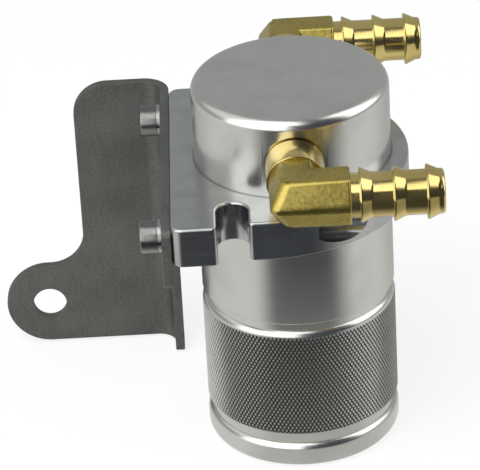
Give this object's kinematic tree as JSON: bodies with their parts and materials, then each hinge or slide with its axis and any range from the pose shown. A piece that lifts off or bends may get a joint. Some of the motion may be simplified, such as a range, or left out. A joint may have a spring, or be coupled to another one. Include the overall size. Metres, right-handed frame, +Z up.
{
  "type": "oil catch can",
  "caption": "Turned aluminium oil catch can with a knurled screw-on cup, brass hose elbows and a folded steel bracket.",
  "frame": {"origin": "centre of the cup's flat base, on the can's axis", "axes": "+Z up along the can's axis, +X the way both hose barbs point, -Y the side of the front elbow; the bracket is on -X"},
  "size_m": [0.1606, 0.1358, 0.1413],
  "materials": {
    "machined_aluminium": "turned and milled, bright",
    "forged_brass": "forged faces and turned barbs",
    "dark_steel": "dark matte sheet",
    "plated_steel": "plated",
    "seal_rubber": "matte",
    "steel_sheet": "plain sheet",
    "wire_pack": "knitted wire"
  },
  "bodies": {
    "can": {"head": "machined_aluminium", "front_hose_elbow": "forged_brass", "rear_hose_elbow": "forged_brass", "bracket": "dark_steel", "bracket_screws": "plated_steel", "lock_washers": "plated_steel", "divider_plate": "steel_sheet", "upper_screen": "steel_sheet", "coalescing_mesh": "wire_pack", "lower_screen": "steel_sheet", "retaining_ring": "steel_sheet"},
    "seal": {"cup_seal": "seal_rubber"},
    "cup": {"cup": "machined_aluminium"}
  },
  "joints": [
    {"name": "cup_drop", "type": "slide", "parent": "can", "child": "seal", "axis": [0, 0, -1], "range_m": [0, 0.0091]},
    {"name": "cup_turn", "type": "hinge", "parent": "seal", "child": "cup", "pos_m": [0, 0, 0.0538], "axis": [0, 0, -1], "range_deg": [0, 1620]}
  ],
  "couplings": [
    {"joint": "cup_drop", "follows": "cup_turn", "m_per_rad": 0.00031831}
  ]
}
